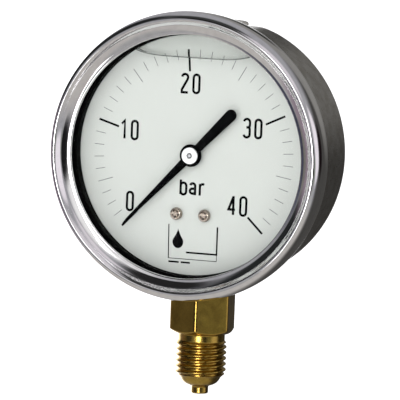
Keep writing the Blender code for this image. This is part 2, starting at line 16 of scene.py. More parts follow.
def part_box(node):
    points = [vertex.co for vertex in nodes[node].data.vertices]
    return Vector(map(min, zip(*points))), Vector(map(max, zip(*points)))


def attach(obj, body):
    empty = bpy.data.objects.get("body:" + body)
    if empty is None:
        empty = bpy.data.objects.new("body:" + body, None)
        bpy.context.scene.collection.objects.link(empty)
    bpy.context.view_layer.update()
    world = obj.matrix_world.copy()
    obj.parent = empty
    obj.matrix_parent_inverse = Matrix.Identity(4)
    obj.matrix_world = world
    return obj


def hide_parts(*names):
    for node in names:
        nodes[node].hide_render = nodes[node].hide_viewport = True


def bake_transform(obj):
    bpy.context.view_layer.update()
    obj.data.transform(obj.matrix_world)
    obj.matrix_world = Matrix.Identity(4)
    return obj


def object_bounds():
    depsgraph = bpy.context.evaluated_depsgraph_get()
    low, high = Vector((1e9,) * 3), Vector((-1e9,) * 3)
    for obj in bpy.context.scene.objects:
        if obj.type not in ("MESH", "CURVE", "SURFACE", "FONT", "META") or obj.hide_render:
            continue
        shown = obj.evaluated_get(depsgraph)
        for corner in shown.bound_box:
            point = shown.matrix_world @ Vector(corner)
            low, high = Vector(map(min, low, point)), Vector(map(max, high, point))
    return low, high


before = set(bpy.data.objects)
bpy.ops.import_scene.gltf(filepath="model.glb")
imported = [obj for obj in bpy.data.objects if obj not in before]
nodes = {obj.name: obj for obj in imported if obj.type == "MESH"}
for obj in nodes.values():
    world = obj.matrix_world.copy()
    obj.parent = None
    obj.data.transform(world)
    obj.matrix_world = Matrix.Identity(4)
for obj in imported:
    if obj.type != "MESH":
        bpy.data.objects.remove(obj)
cad_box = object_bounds()

# Camera: a long lens that looks at the dial from a little to its right and from just above.
# The dial's centre comes from the imported dial, whose front faces along -Y.
dial_low, dial_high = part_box("dial")
dial_centre = Vector(((dial_low.x + dial_high.x) / 2, dial_low.y, (dial_low.z + dial_high.z) / 2))
dial_place = Matrix.Translation(dial_centre) @ Matrix.Rotation(math.pi / 2, 4, "X")
dial_place @= Matrix.Scale(0.001, 4)

azimuth, elevation, roll = (math.radians(a) for a in (20.37, 5.74, 2.14))
eye_distance, aim_right, aim_up = 1.062, 0.001566, -0.010516
towards = Vector(
    (
        math.sin(azimuth) * math.cos(elevation),
        -math.cos(azimuth) * math.cos(elevation),
        math.sin(elevation),
    )
)
level_right = Vector((math.cos(azimuth), math.sin(azimuth), 0))
level_up = towards.cross(level_right)
picture_right = math.cos(roll) * level_right + math.sin(roll) * level_up
picture_up = math.cos(roll) * level_up - math.sin(roll) * level_right
eye = dial_centre + eye_distance * towards
aim = dial_centre + aim_right * picture_right + aim_up * picture_up
view_back = (eye - aim).normalized()
view_right = picture_up.cross(view_back).normalized()
view_up = view_back.cross(view_right)
camera_data = bpy.data.cameras.new("camera")
camera_data.lens = 409.0
camera_data.sensor_width = 36.0
camera_data.clip_start = 0.05
camera = bpy.data.objects.new("camera", camera_data)
camera.matrix_world = Matrix.Translation(eye) @ Matrix(
    (view_right, view_up, view_back)
).transposed().to_4x4()
bpy.context.collection.objects.link(camera)
scene = bpy.context.scene
scene.camera = camera
scene.view_settings.view_transform = "Standard"
scene.view_settings.look = "None"


# Studio: a grey room whose soft light cards and dark flags give the polished steel its bands, a
# large soft lamp above, an upright strip lamp in front, and a plain pale floor under the nose.
def aimed(azimuth_degrees, elevation_degrees):
    """The direction towards a point round the object. Azimuth 0 is in front of the dial."""
    a, e = math.radians(azimuth_degrees), math.radians(elevation_degrees)
    return Vector((math.sin(a) * math.cos(e), -math.cos(a) * math.cos(e), math.sin(e)))


world = bpy.data.worlds.new("studio")
world.use_nodes = True
scene.world = world
room = world.node_tree
room.nodes.clear()
direction = room.nodes.new("ShaderNodeTexCoord")
colour = None
room_light = (0.4, 0.4, 0.42, 1)
# Each flag or card: azimuth, elevation, half angle and softness in degrees, and colour.
cards = [
    (0, -80, 60, 12, (0.55, 0.53, 0.5, 1)),
    (150, -10, 50, 14, (0.07, 0.068, 0.064, 1)),
    (172, 24, 24, 8, (0.27, 0.265, 0.25, 1)),
    (-171, 20, 6, 3, (0.01, 0.01, 0.01, 1)),
    (-30, 74, 22, 7, (0.05, 0.052, 0.05, 1)),
    (-85, 30, 34, 8, (0.02, 0.022, 0.022, 1)),
    (-84, -12, 18, 7, (0.3, 0.24, 0.28, 1)),
    (-64, -8, 9, 4, (0.2, 0.19, 0.17, 1)),
    (-20, 45, 18, 6, (0.02, 0.02, 0.02, 1)),
    (8, 12, 24, 5, (1.0, 1.0, 0.99, 1)),
    (-44, -12, 17, 5, (0.05, 0.055, 0.085, 1)),
    (-8, -38, 16, 5, (0.4, 0.4, 0.4, 1)),
    (36, -5, 13, 4, (0.012, 0.012, 0.012, 1)),
    (60, -8, 9, 4, (0.27, 0.29, 0.25, 1)),
    (50, 50, 20, 8, (0.8, 0.76, 0.8, 1)),
    (88, 6, 20, 5, (1.0, 0.95, 1.0, 1)),
    (3, -6, 7, 3, (13.0, 12.4, 12.6, 1)),
    (119, 2, 12, 5, (0.01, 0.006, 0.007, 1)),
    (-138, -4, 25, 5, (2.4, 2.4, 2.4, 1)),
]
for card_azimuth, card_elevation, half_angle, softness, card_colour in cards:
    dot = room.nodes.new("ShaderNodeVectorMath")
    dot.operation = "DOT_PRODUCT"
    room.links.new(direction.outputs["Generated"], dot.inputs[0])
    dot.inputs[1].default_value = aimed(card_azimuth, card_elevation)
    reach = room.nodes.new("ShaderNodeMapRange")
    reach.interpolation_type = "SMOOTHSTEP"
    reach.inputs["From Min"].default_value = math.cos(math.radians(half_angle + softness))
    reach.inputs["From Max"].default_value = math.cos(
        math.radians(max(half_angle - softness, 0))
    )
    room.links.new(dot.outputs["Value"], reach.inputs["Value"])
    mixed = room.nodes.new("ShaderNodeMix")
    mixed.data_type = "RGBA"
    room.links.new(reach.outputs["Result"], mixed.inputs["Factor"])
    if colour is None:
        mixed.inputs[6].default_value = room_light
    else:
        room.links.new(colour, mixed.inputs[6])
    mixed.inputs[7].default_value = card_colour
    colour = mixed.outputs[2]
seen = room.nodes.new("ShaderNodeLightPath")
backdrop = room.nodes.new("ShaderNodeMix")
backdrop.data_type = "RGBA"
room.links.new(seen.outputs["Is Camera Ray"], backdrop.inputs["Factor"])
room.links.new(colour, backdrop.inputs[6])
backdrop.inputs[7].default_value = (1, 1, 1, 1)
shine = room.nodes.new("ShaderNodeBackground")
room.links.new(backdrop.outputs[2], shine.inputs["Color"])
room_out = room.nodes.new("ShaderNodeOutputWorld")
room.links.new(shine.outputs[0], room_out.inputs["Surface"])


def soft_light(name, shape, size, energy, spot):
    """An area lamp at that spot, turned to the dial's centre."""
    data = bpy.data.lights.new(name, "AREA")
    data.shape = shape
    data.size, data.size_y = size
    data.energy = energy
    lamp = bpy.data.objects.new(name, data)
    turn = (spot - dial_centre).to_track_quat("Z", "Y")
    lamp.matrix_world = Matrix.Translation(spot) @ turn.to_matrix().to_4x4()
    bpy.context.collection.objects.link(lamp)
    return lamp


overhead = soft_light("soft_lamp", "DISK", (0.9, 0.9), 3.4, dial_centre + 1.5 * aimed(-12, 38))
overhead.visible_glossy = False
soft_light("strip_lamp", "RECTANGLE", (0.2, 1.6), 3.5, dial_centre + 1.2 * aimed(9, -2))

floor_gap, floor_radius = 0.0002, 6
floor_mesh = bpy.data.meshes.new("floor")
floor_shape = bmesh.new()
bmesh.ops.create_circle(floor_shape, cap_ends=True, segments=96, radius=floor_radius)
floor_shape.to_mesh(floor_mesh)
floor_shape.free()
floor_mesh.transform(Matrix.Translation((0, 0, cad_box[0].z - floor_gap)))
floor = bpy.data.objects.new("floor", floor_mesh)
bpy.context.collection.objects.link(floor)
floor_paint = bpy.data.materials.new("pale_floor")
floor_paint.use_nodes = True
floor_shader = floor_paint.node_tree.nodes["Principled BSDF"]
floor_shader.inputs["Base Color"].default_value = (0.95, 0.95, 0.95, 1)
floor_shader.inputs["Roughness"].default_value = 1.0
floor_shader.inputs["Specular IOR Level"].default_value = 0.0
floor_shader.inputs["Emission Color"].default_value = (1, 1, 1, 1)
floor_shader.inputs["Emission Strength"].default_value = 1.0
floor_mesh.materials.append(floor_paint)
floor.visible_glossy = False


# Case: a cup deep-drawn from stainless sheet and polished outside, with a flat pressed into its
# top for the fill plug, a hole in that flat and a hole below for the stem.
def worked_surface():
    """Shared effect: cloudy stains, a finer grain in the gloss, and its bump."""
    tree = bpy.data.node_groups.new("worked_surface", "ShaderNodeTree")
    for name, kind, value in (
        ("Colour", "NodeSocketColor", (0.8, 0.8, 0.8, 1)),
        ("Stain Colour", "NodeSocketColor", (0.4, 0.4, 0.4, 1)),
        ("Stain Scale", "NodeSocketFloat", 200.0),
        ("Stain Amount", "NodeSocketFloat", 0.3),
        ("Grain Scale", "NodeSocketFloat", 3000.0),
        ("Grain Stretch", "NodeSocketVector", (1, 1, 1)),
        ("Roughness", "NodeSocketFloat", 0.3),
        ("Roughness Spread", "NodeSocketFloat", 0.1),
        ("Bump Height", "NodeSocketFloat", 0.01),
    ):
        tree.interface.new_socket(name, in_out="INPUT", socket_type=kind).default_value = value
    for name, kind in (
        ("Colour", "NodeSocketColor"),
        ("Roughness", "NodeSocketFloat"),
        ("Normal", "NodeSocketVector"),
    ):
        tree.interface.new_socket(name, in_out="OUTPUT", socket_type=kind)
    given = tree.nodes.new("NodeGroupInput")
    made = tree.nodes.new("NodeGroupOutput")
    place = tree.nodes.new("ShaderNodeTexCoord")
    stain = tree.nodes.new("ShaderNodeTexNoise")
    stain.inputs["Detail"].default_value = 5
    stain.inputs["Roughness"].default_value = 0.62
    tree.links.new(place.outputs["Object"], stain.inputs["Vector"])
    tree.links.new(given.outputs["Stain Scale"], stain.inputs["Scale"])
    spread = tree.nodes.new("ShaderNodeMapRange")
    spread.inputs["From Min"].default_value = 0.38
    spread.inputs["From Max"].default_value = 0.66
    tree.links.new(stain.outputs["Fac"], spread.inputs["Value"])
    amount = tree.nodes.new("ShaderNodeMath")
    amount.operation = "MULTIPLY"
    tree.links.new(spread.outputs["Result"], amount.inputs[0])
    tree.links.new(given.outputs["Stain Amount"], amount.inputs[1])
    mix = tree.nodes.new("ShaderNodeMix")
    mix.data_type = "RGBA"
    tree.links.new(amount.outputs[0], mix.inputs["Factor"])
    tree.links.new(given.outputs["Colour"], mix.inputs[6])
    tree.links.new(given.outputs["Stain Colour"], mix.inputs[7])
    tree.links.new(mix.outputs[2], made.inputs["Colour"])
    stretched = tree.nodes.new("ShaderNodeVectorMath")
    stretched.operation = "MULTIPLY"
    tree.links.new(place.outputs["Object"], stretched.inputs[0])
    tree.links.new(given.outputs["Grain Stretch"], stretched.inputs[1])
    grain = tree.nodes.new("ShaderNodeTexNoise")
    grain.inputs["Detail"].default_value = 3
    tree.links.new(stretched.outputs[0], grain.inputs["Vector"])
    tree.links.new(given.outputs["Grain Scale"], grain.inputs["Scale"])
    centred = tree.nodes.new("ShaderNodeMath")
    centred.operation = "SUBTRACT"
    tree.links.new(grain.outputs["Fac"], centred.inputs[0])
    centred.inputs[1].default_value = 0.5
    rough = tree.nodes.new("ShaderNodeMath")
    rough.operation = "MULTIPLY_ADD"
    rough.use_clamp = True
    tree.links.new(centred.outputs[0], rough.inputs[0])
    tree.links.new(given.outputs["Roughness Spread"], rough.inputs[1])
    tree.links.new(given.outputs["Roughness"], rough.inputs[2])
    tree.links.new(rough.outputs[0], made.inputs["Roughness"])
    bump = tree.nodes.new("ShaderNodeBump")
    bump.inputs["Strength"].default_value = 1.0
    tree.links.new(grain.outputs["Fac"], bump.inputs["Height"])
    lower = tree.nodes.new("ShaderNodeMath")
    lower.operation = "MULTIPLY"
    lower.inputs[1].default_value = 0.001
    tree.links.new(given.outputs["Bump Height"], lower.inputs[0])
    tree.links.new(lower.outputs[0], bump.inputs["Distance"])
    tree.links.new(bump.outputs["Normal"], made.inputs["Normal"])
    return tree


worked = worked_surface()


def finish(name, metallic, settings, **shader_values):
    """A material whose colour, gloss and grain come from the worked surface."""
    material = bpy.data.materials.new(name)
    material.use_nodes = True
    tree = material.node_tree
    shader = tree.nodes["Principled BSDF"]
    shader.inputs["Metallic"].default_value = metallic
    for key, value in shader_values.items():
        shader.inputs[key.replace("_", " ")].default_value = value
    surface = tree.nodes.new("ShaderNodeGroup")
    surface.node_tree = worked
    for key, value in settings.items():
        if key.endswith("Colour"):
            value = (*value, 1)
        surface.inputs[key].default_value = value
    tree.links.new(surface.outputs["Colour"], shader.inputs["Base Color"])
    tree.links.new(surface.outputs["Roughness"], shader.inputs["Roughness"])
    tree.links.new(surface.outputs["Normal"], shader.inputs["Normal"])
    return material


def settle(name, mesh, material, body, slot, *replaced, crease=34):
    """Links a finished mesh as a piece, shades it, and says what it rides on and stands for."""
    mesh.materials.clear()
    mesh.materials.append(material)
    mesh.shade_smooth()
    mesh.set_sharp_from_angle(angle=math.radians(crease))
    piece = bpy.data.objects.new(name, mesh)
    bpy.context.collection.objects.link(piece)
    if body:
        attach(piece, body)
    if replaced:
        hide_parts(*replaced)
    return piece


def mesh_from(shape, name, place):
    """The bmesh as a mesh in its place, with its faces turned outwards."""
    bmesh.ops.recalc_face_normals(shape, faces=shape.faces)
    mesh = bpy.data.meshes.new(name)
    shape.to_mesh(mesh)
    shape.free()
    mesh.transform(place)
    return mesh


def mesh_of(helper):
    """The mesh that a helper object's curve or modifiers make. The helper is removed."""
    bpy.context.view_layer.update()
    graph = bpy.context.evaluated_depsgraph_get()
    mesh = bpy.data.meshes.new_from_object(helper.evaluated_get(graph))
    bpy.data.objects.remove(helper)
    return mesh


def bridged(shape, rows):
    """Joins rows of equally many points into a closed skin with a cap at each end."""
    for low, high in zip(rows, rows[1:]):
        for i in range(len(low)):
            j = (i + 1) % len(low)
            shape.faces.new([low[i], low[j], high[j], high[i]])
    shape.faces.new(rows[0][::-1])
    shape.faces.new(rows[-1])


def turned(name, profile, steps, place, closed=False):
    """Spins (radius, height) points about the local Z axis. A closed profile joins its ends."""
    shape = bmesh.new()
    turns = [math.tau * i / steps for i in range(steps)]
    rings = [
        [shape.verts.new((0, 0, h))]
        if r < 1e-6
        else [shape.verts.new((r * math.cos(a), r * math.sin(a), h)) for a in turns]
        for r, h in profile
    ]
    following = rings[1:] + rings[:1] if closed else rings[1:]
    for low, high in zip(rings, following):
        for i in range(steps):
            j = (i + 1) % steps
            corners = [low[i % len(low)], low[j % len(low)]]
            corners += [high[j % len(high)], high[i % len(high)]]
            corners = list(dict.fromkeys(corners))
            if len(corners) > 2:
                shape.faces.new(corners)
    return mesh_from(shape, name, place)


def smooth_line(points, parts):
    """A smooth curve through the points, with that many parts between each two."""
    p = np.array(points, float)
    p = np.vstack([2 * p[0] - p[1], p, 2 * p[-1] - p[-2]])
    line = []
    for a, b, c, d in zip(p, p[1:], p[2:], p[3:]):
        for t in np.arange(parts) / parts:
            line.append(
                0.5
                * (
                    2 * b
                    + (c - a) * t
                    + (2 * a - 5 * b + 4 * c - d) * t**2
                    + (3 * b - a - 3 * c + d) * t**3
                )
            )
    return np.vstack([line, p[-2]])


def sheet_metal(line, thickness):
    """A closed profile of sheet whose outer side is the line. The wall lies on its right."""
    step = np.gradient(line, axis=0)
    step /= np.linalg.norm(step, axis=1)[:, None]
    inner = line + thickness * np.stack([step[:, 1], -step[:, 0]], axis=1)
    return [tuple(p) for p in np.vstack([line, inner[::-1]])]


def arc(radius, start, end, count, x=0.0, y=0.0):
    """Points along an arc from one angle to another in degrees, both ends included."""
    turns = np.radians(np.linspace(start, end, count))
    return [(x + radius * math.cos(a), y + radius * math.sin(a)) for a in turns]


def cut_by(mesh, cutters):
    """The mesh with the cutters' solids taken out of it."""
    holder = bpy.data.objects.new("holder", mesh)
    bpy.context.collection.objects.link(holder)
    helpers = []
    for cutter in cutters:
        helper = bpy.data.objects.new("cutter", cutter)
        bpy.context.collection.objects.link(helper)
        helpers.append(helper)
        step = holder.modifiers.new("cut", "BOOLEAN")
        step.operation = "DIFFERENCE"
        step.solver = "MANIFOLD"
        step.object = helper
    result = mesh_of(holder)
    for helper in helpers:
        bpy.data.objects.remove(helper)
    return result


def plug_shape(radius, low, high, place):
    """A plain round cutter."""
    return turned("cutter", [(0, low), (radius, low), (radius, high), (0, high)], 96, place)


case_radius, case_back, case_corner, case_wall = 31.0, 22.0, 3.5, 0.7
wall_back, wall_front = -18, -0.2
flat_height, flat_margin, flat_softness = 29.6, 1.2, 0.12
flat_start, flat_run, flat_inner = -0.9, 1.3, 20
case_line = [(0.0, -case_back), (14.0, -case_back)]
case_line += [(r, -case_back) for r in np.linspace(15, case_radius - case_corner, 8)[:-1]]
case_line += arc(case_corner, -90, 0, 12, case_radius - case_corner, -case_back + case_corner)
case_line += [(case_radius, z) for z in np.linspace(wall_back, wall_front, 24)]
case_line += [(31.15, 0.25), (31.5, 0.5), (31.9, 0.55), (32.1, 0.8), (31.9, 1.05)]
case_line += [(31.2, 1.1), (30.5, 0.9), (30.3, 0.2)]
case_line += [(case_radius - case_wall, z) for z in np.linspace(wall_front, wall_back, 24)]
case_line += arc(
    case_corner - case_wall, 0, -90, 10, case_radius - case_corner, -case_back + case_corner
)
case_line += [(14.0, -case_back + case_wall), (0.0, -case_back + case_wall)]
case_mesh = turned("case_cup", case_line, 192, Matrix.Identity(4))
case_shape = bmesh.new()
case_shape.from_mesh(case_mesh)
for vert in case_shape.verts:
    x, y, z = vert.co
    radius = math.hypot(x, y)
    wall = case_wall if radius < case_radius - 0.5 * case_wall and z > -case_back + 0.3 else 0.0
    behind = min(max((flat_start - z) / flat_run, 0), 1)
    behind = behind * behind * (3 - 2 * behind)
    limit = flat_height - wall
    if y > limit - flat_margin and radius > flat_inner:
        over = y - limit
        soft = 0.5 * (y + limit - math.sqrt(over * over + flat_softness))
        vert.co.y = y + (soft - y) * behind
case_shape.to_mesh(case_mesh)
case_shape.free()
case_mesh.transform(dial_place)
thread_axis = Matrix.Scale(0.001, 4)
plug_axis = Matrix.Translation((0, 0.0015, 0)) @ thread_axis
case_mesh = cut_by(
    case_mesh, [plug_shape(6.5, 8, 20, thread_axis), plug_shape(6.0, 68, 78, plug_axis)]
)
# The case steel is coloured much darker than the bezel's same polished stainless. This is painted
# dark reflection of the room. Its heavy cloudy stains are partly real stains and partly painted
# mottled reflection.
case_steel = finish(
    "case_steel",
    1.0,
    {
        "Colour": (0.44, 0.43, 0.42),
        "Stain Colour": (0.27, 0.25, 0.22),
        "Stain Scale": 420.0,
        "Stain Amount": 0.75,
        "Grain Scale": 2600.0,
        "Grain Stretch": (1, 0.25, 1),
        "Roughness": 0.3,
        "Roughness Spread": 0.16,
        "Bump Height": 0.02,
    },
)
settle("case_cup", case_mesh, case_steel, "root", "polished_steel", "case")


# Stem: turned and milled from one brass bar, with the nose, the thread, the spanner hexagon, the
# neck that goes through the case and the block that the pressure tube is soldered into.
hex_flats, hex_height, hex_turn = 14.0, 11.7, 8.2
thread_radius, thread_pitch, thread_depth = 6.0, 1.35, 0.72
thread_low, thread_high = -10.2, -1.95
thread_crest, thread_flank, thread_runout = 0.16, 0.68, 0.5
corner_sharpness = 70
block_size, block_height, block_edge = (10.5, 6.5, 10.0), 22.0, 0.35
stem_profile = [
    (1.85, -14.5), (1.97, -14.42), (2.0, -14.2), (2.0, -13.0), (2.12, -12.75), (2.5, -12.6),
    (3.2, -12.35), (3.9, -11.95), (4.4, -11.4), (4.75, -10.75), (5.15, -10.25), (6.02, -9.55),
    (6.02, -2.35), (5.6, -1.95), (5.5, -1.75), (5.5, -0.25), (5.62, -0.06), (5.8, 0.0),
    (6.5, 0.02), (8.4, 1.2), (8.4, 10.5), (6.9, 11.68), (6.25, 11.72), (6.2, 11.8), (6.2, 17.2),
]  # fmt: skip
heights = np.concatenate(
    [
        np.linspace(-14.5, -10.3, 36)[:-1],
        np.linspace(-10.3, -1.7, 118)[:-1],
        np.linspace(-1.7, 0.0, 14)[:-1],
        np.linspace(0.0, 1.6, 26)[:-1],
        np.linspace(1.6, 10.2, 12)[:-1],
        np.linspace(10.2, 11.9, 24)[:-1],
        np.linspace(11.9, 17.2, 5),
    ]
)
around = np.radians(hex_turn - 90 + np.arange(180) * 2.0)
profile_r, profile_z = np.array(stem_profile).T
envelope = np.interp(heights, profile_z, profile_r)
stem_shape = bmesh.new()
rows = []
for height, reach in zip(heights, envelope):
    radii = np.full(len(around), reach)
    if thread_low < height < thread_high:
        phase = height / thread_pitch - around / math.tau
        wave = np.abs((phase % 1.0) - 0.5) * 2
        cut = thread_depth * np.clip((wave - thread_crest) / thread_flank, 0, 1) ** 1.1
        fade = min(1.0, (thread_high - height) / thread_runout)
        radii = np.minimum(radii, thread_radius - cut * fade)
    if 0.001 < height < hex_height:
        faces = np.radians(hex_turn - 90 + 30 + np.arange(6) * 60)
        nearness = np.clip(np.cos(around[:, None] - faces[None, :]), 0, None)
        flats = np.sum((nearness / (hex_flats / 2)) ** corner_sharpness, axis=1)
        radii = (flats + reach ** -float(corner_sharpness)) ** (-1 / corner_sharpness)
    rows.append(
        [
            stem_shape.verts.new((r * math.cos(a), r * math.sin(a), height))
            for r, a in zip(radii, around)
        ]
    )
bore = [(1.55, -14.5), (1.5, -14.4), (1.5, -5.0)]
bore_rows = [
    [stem_shape.verts.new((r * math.cos(a), r * math.sin(a), z)) for a in around]
    for r, z in bore
]
bridged(stem_shape, bore_rows[::-1] + rows)
block = bmesh.ops.create_cube(stem_shape, size=1.0)["verts"]
bmesh.ops.scale(stem_shape, vec=block_size, verts=block)
bmesh.ops.translate(stem_shape, vec=(0, 0, block_height), verts=block)
block_edges = list({edge for vert in block for edge in vert.link_edges})
bmesh.ops.bevel(
    stem_shape, geom=block_edges, offset=block_edge, segments=2, profile=0.5, affect="EDGES"
)
stem_mesh = mesh_from(stem_shape, "threaded_stem", thread_axis)
stem_brass = finish(
    "stem_brass",
    1.0,
    {
        "Colour": (0.47, 0.315, 0.07),
        "Stain Colour": (0.24, 0.145, 0.03),
        "Stain Scale": 330.0,
        "Stain Amount": 0.6,
        "Grain Scale": 2400.0,
        "Grain Stretch": (1, 1, 3.5),
        "Roughness": 0.2,
        "Roughness Spread": 0.18,
        "Bump Height": 0.015,
    },
)
settle("threaded_stem", stem_mesh, stem_brass, "root", "stem_brass", "socket", crease=40)


# Pressure tube: drawn bronze tube rolled flat and bent round the dial's axis. Its fixed end is
# soldered into the stem's block, and its free end follows the end piece as the pressure rises.
tube_radius, tube_depth = 22.0, -10.3
tube_section = (1.2, 2.0)
tube_start, tube_sweep = -19.0, 273.5
section = arc(tube_section[0], 0, 180, 12, 0, tube_section[1])
section += arc(tube_section[0], 180, 360, 12, 0, -tube_section[1])
tube_shape = bmesh.new()
tube_rows = []
for turn in np.radians(np.linspace(tube_start, tube_start + tube_sweep, 150)):
    tube_rows.append(
        [
            tube_shape.verts.new(
                (
                    (tube_radius + u) * math.cos(turn),
                    (tube_radius + u) * math.sin(turn),
                    tube_depth + v,
                )
            )
            for u, v in section
        ]
    )
bridged(tube_shape, tube_rows)
tube_mesh = mesh_from(tube_shape, "pressure_tube", dial_place)
tube_bronze = finish(
    "tube_bronze",
    1.0,
    {
        "Colour": (0.56, 0.34, 0.18),
        "Stain Colour": (0.34, 0.18, 0.1),
        "Stain Scale": 260.0,
        "Stain Amount": 0.5,
        "Grain Scale": 3200.0,
        "Roughness": 0.28,
        "Roughness Spread": 0.12,
        "Bump Height": 0.01,
    },
)
tube = settle("pressure_tube", tube_mesh, tube_bronze, None, "tube_bronze", "bourdon_tube")
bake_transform(tube)

# Movement: stamped and turned brass plates, gear, link and screws, ground steel arbors and a
# steel hairspring. They stay as packed and take worked finishes.
movement_brass = finish(
    "movement_brass",
    1.0,
    {
        "Colour": (0.62, 0.46, 0.2),
        "Stain Colour": (0.44, 0.3, 0.12),
        "Stain Scale": 300.0,
        "Stain Amount": 0.45,
        "Grain Scale": 3000.0,
        "Grain Stretch": (4, 1, 1),
        "Roughness": 0.3,
        "Roughness Spread": 0.15,
        "Bump Height": 0.01,
    },
)
arbor_steel = finish(
    "arbor_steel",
    1.0,
    {
        "Colour": (0.5, 0.5, 0.52),
        "Stain Colour": (0.32, 0.31, 0.32),
        "Stain Scale": 500.0,
        "Stain Amount": 0.4,
        "Grain Scale": 5000.0,
        "Roughness": 0.24,
        "Roughness Spread": 0.12,
        "Bump Height": 0.006,
    },
)
plated = finish(
    "bright_plating",
    1.0,
    {
        "Colour": (0.74, 0.72, 0.7),
        "Stain Colour": (0.5, 0.46, 0.42),
        "Stain Scale": 900.0,
        "Stain Amount": 0.35,
        "Grain Scale": 5000.0,
        "Roughness": 0.14,
        "Roughness Spread": 0.1,
        "Bump Height": 0.004,
    },
)
seal_rubber = finish(
    "seal_rubber",
    0.0,
    {
        "Colour": (0.0015, 0.0015, 0.0015),
        "Stain Colour": (0.004, 0.004, 0.004),
        "Stain Scale": 600.0,
        "Stain Amount": 0.5,
        "Grain Scale": 6000.0,
        "Roughness": 0.6,
        "Roughness Spread": 0.2,
        "Bump Height": 0.02,
    },
    Specular_IOR_Level=0.02,
)
dressed = {
    movement_brass: [
        "dial_spacer_1", "dial_spacer_2", "movement_front_plate", "movement_rear_plate",
        "plate_pillar_1", "plate_pillar_2", "plate_pillar_3", "plate_screw_1", "plate_screw_2",
        "plate_screw_3", "sector_gear", "link", "tube_end_piece", "hairspring_collet",
        "hairspring_stud", "restrictor",
    ],
    arbor_steel: ["sector_arbor", "tip_pin", "pinion_arbor", "hairspring"],
    plated: ["carrier_screw_1", "carrier_screw_2", "sector_link_screw"],
    stem_brass: ["stem_nut"],
    seal_rubber: ["stem_seal"],
}  # fmt: skip
for material, names in dressed.items():
    for name in names:
        nodes[name].data.materials.clear()
        nodes[name].data.materials.append(material)

# Dial: a thin aluminium disc with a matt, very pale green enamel. It stays as packed.
enamel = finish(
    "dial_enamel",
    0.0,
    {
        "Colour": (0.615, 0.634, 0.605),
        "Stain Colour": (0.594, 0.613, 0.583),
        "Stain Scale": 160.0,
        "Stain Amount": 0.5,
        "Grain Scale": 4000.0,
        "Roughness": 0.55,
        "Roughness Spread": 0.1,
        "Bump Height": 0.004,
    },
)
nodes["dial"].data.materials.clear()
nodes["dial"].data.materials.append(enamel)

# Scale: black ink printed on the dial. The first step is 2 bar and each later one is 1 bar, with
# a longer line every 5 bar and a thick one every 10 bar.
ink = finish(
    "dial_ink",
    0.0,
    {
        "Colour": (0.0015, 0.0015, 0.002),
        "Stain Colour": (0.005, 0.005, 0.006),
        "Stain Scale": 900.0,
        "Stain Amount": 0.5,
        "Grain Scale": 7000.0,
        "Roughness": 0.6,
        "Roughness Spread": 0.15,
        "Bump Height": 0.004,
    },
    Specular_IOR_Level=0.02,
)
faint_ink = finish(
    "faint_ink",
    0.0,
    {
        "Colour": (0.1, 0.105, 0.105),
        "Stain Colour": (0.3, 0.32, 0.31),
        "Stain Scale": 1400.0,
        "Stain Amount": 0.6,
        "Grain Scale": 7000.0,
        "Roughness": 0.5,
        "Roughness Spread": 0.15,
        "Bump Height": 0.004,
    },
)
scale_steps, scale_start, scale_sweep = 39, 226.1, 270.1
step_angle = math.radians(scale_sweep / scale_steps)


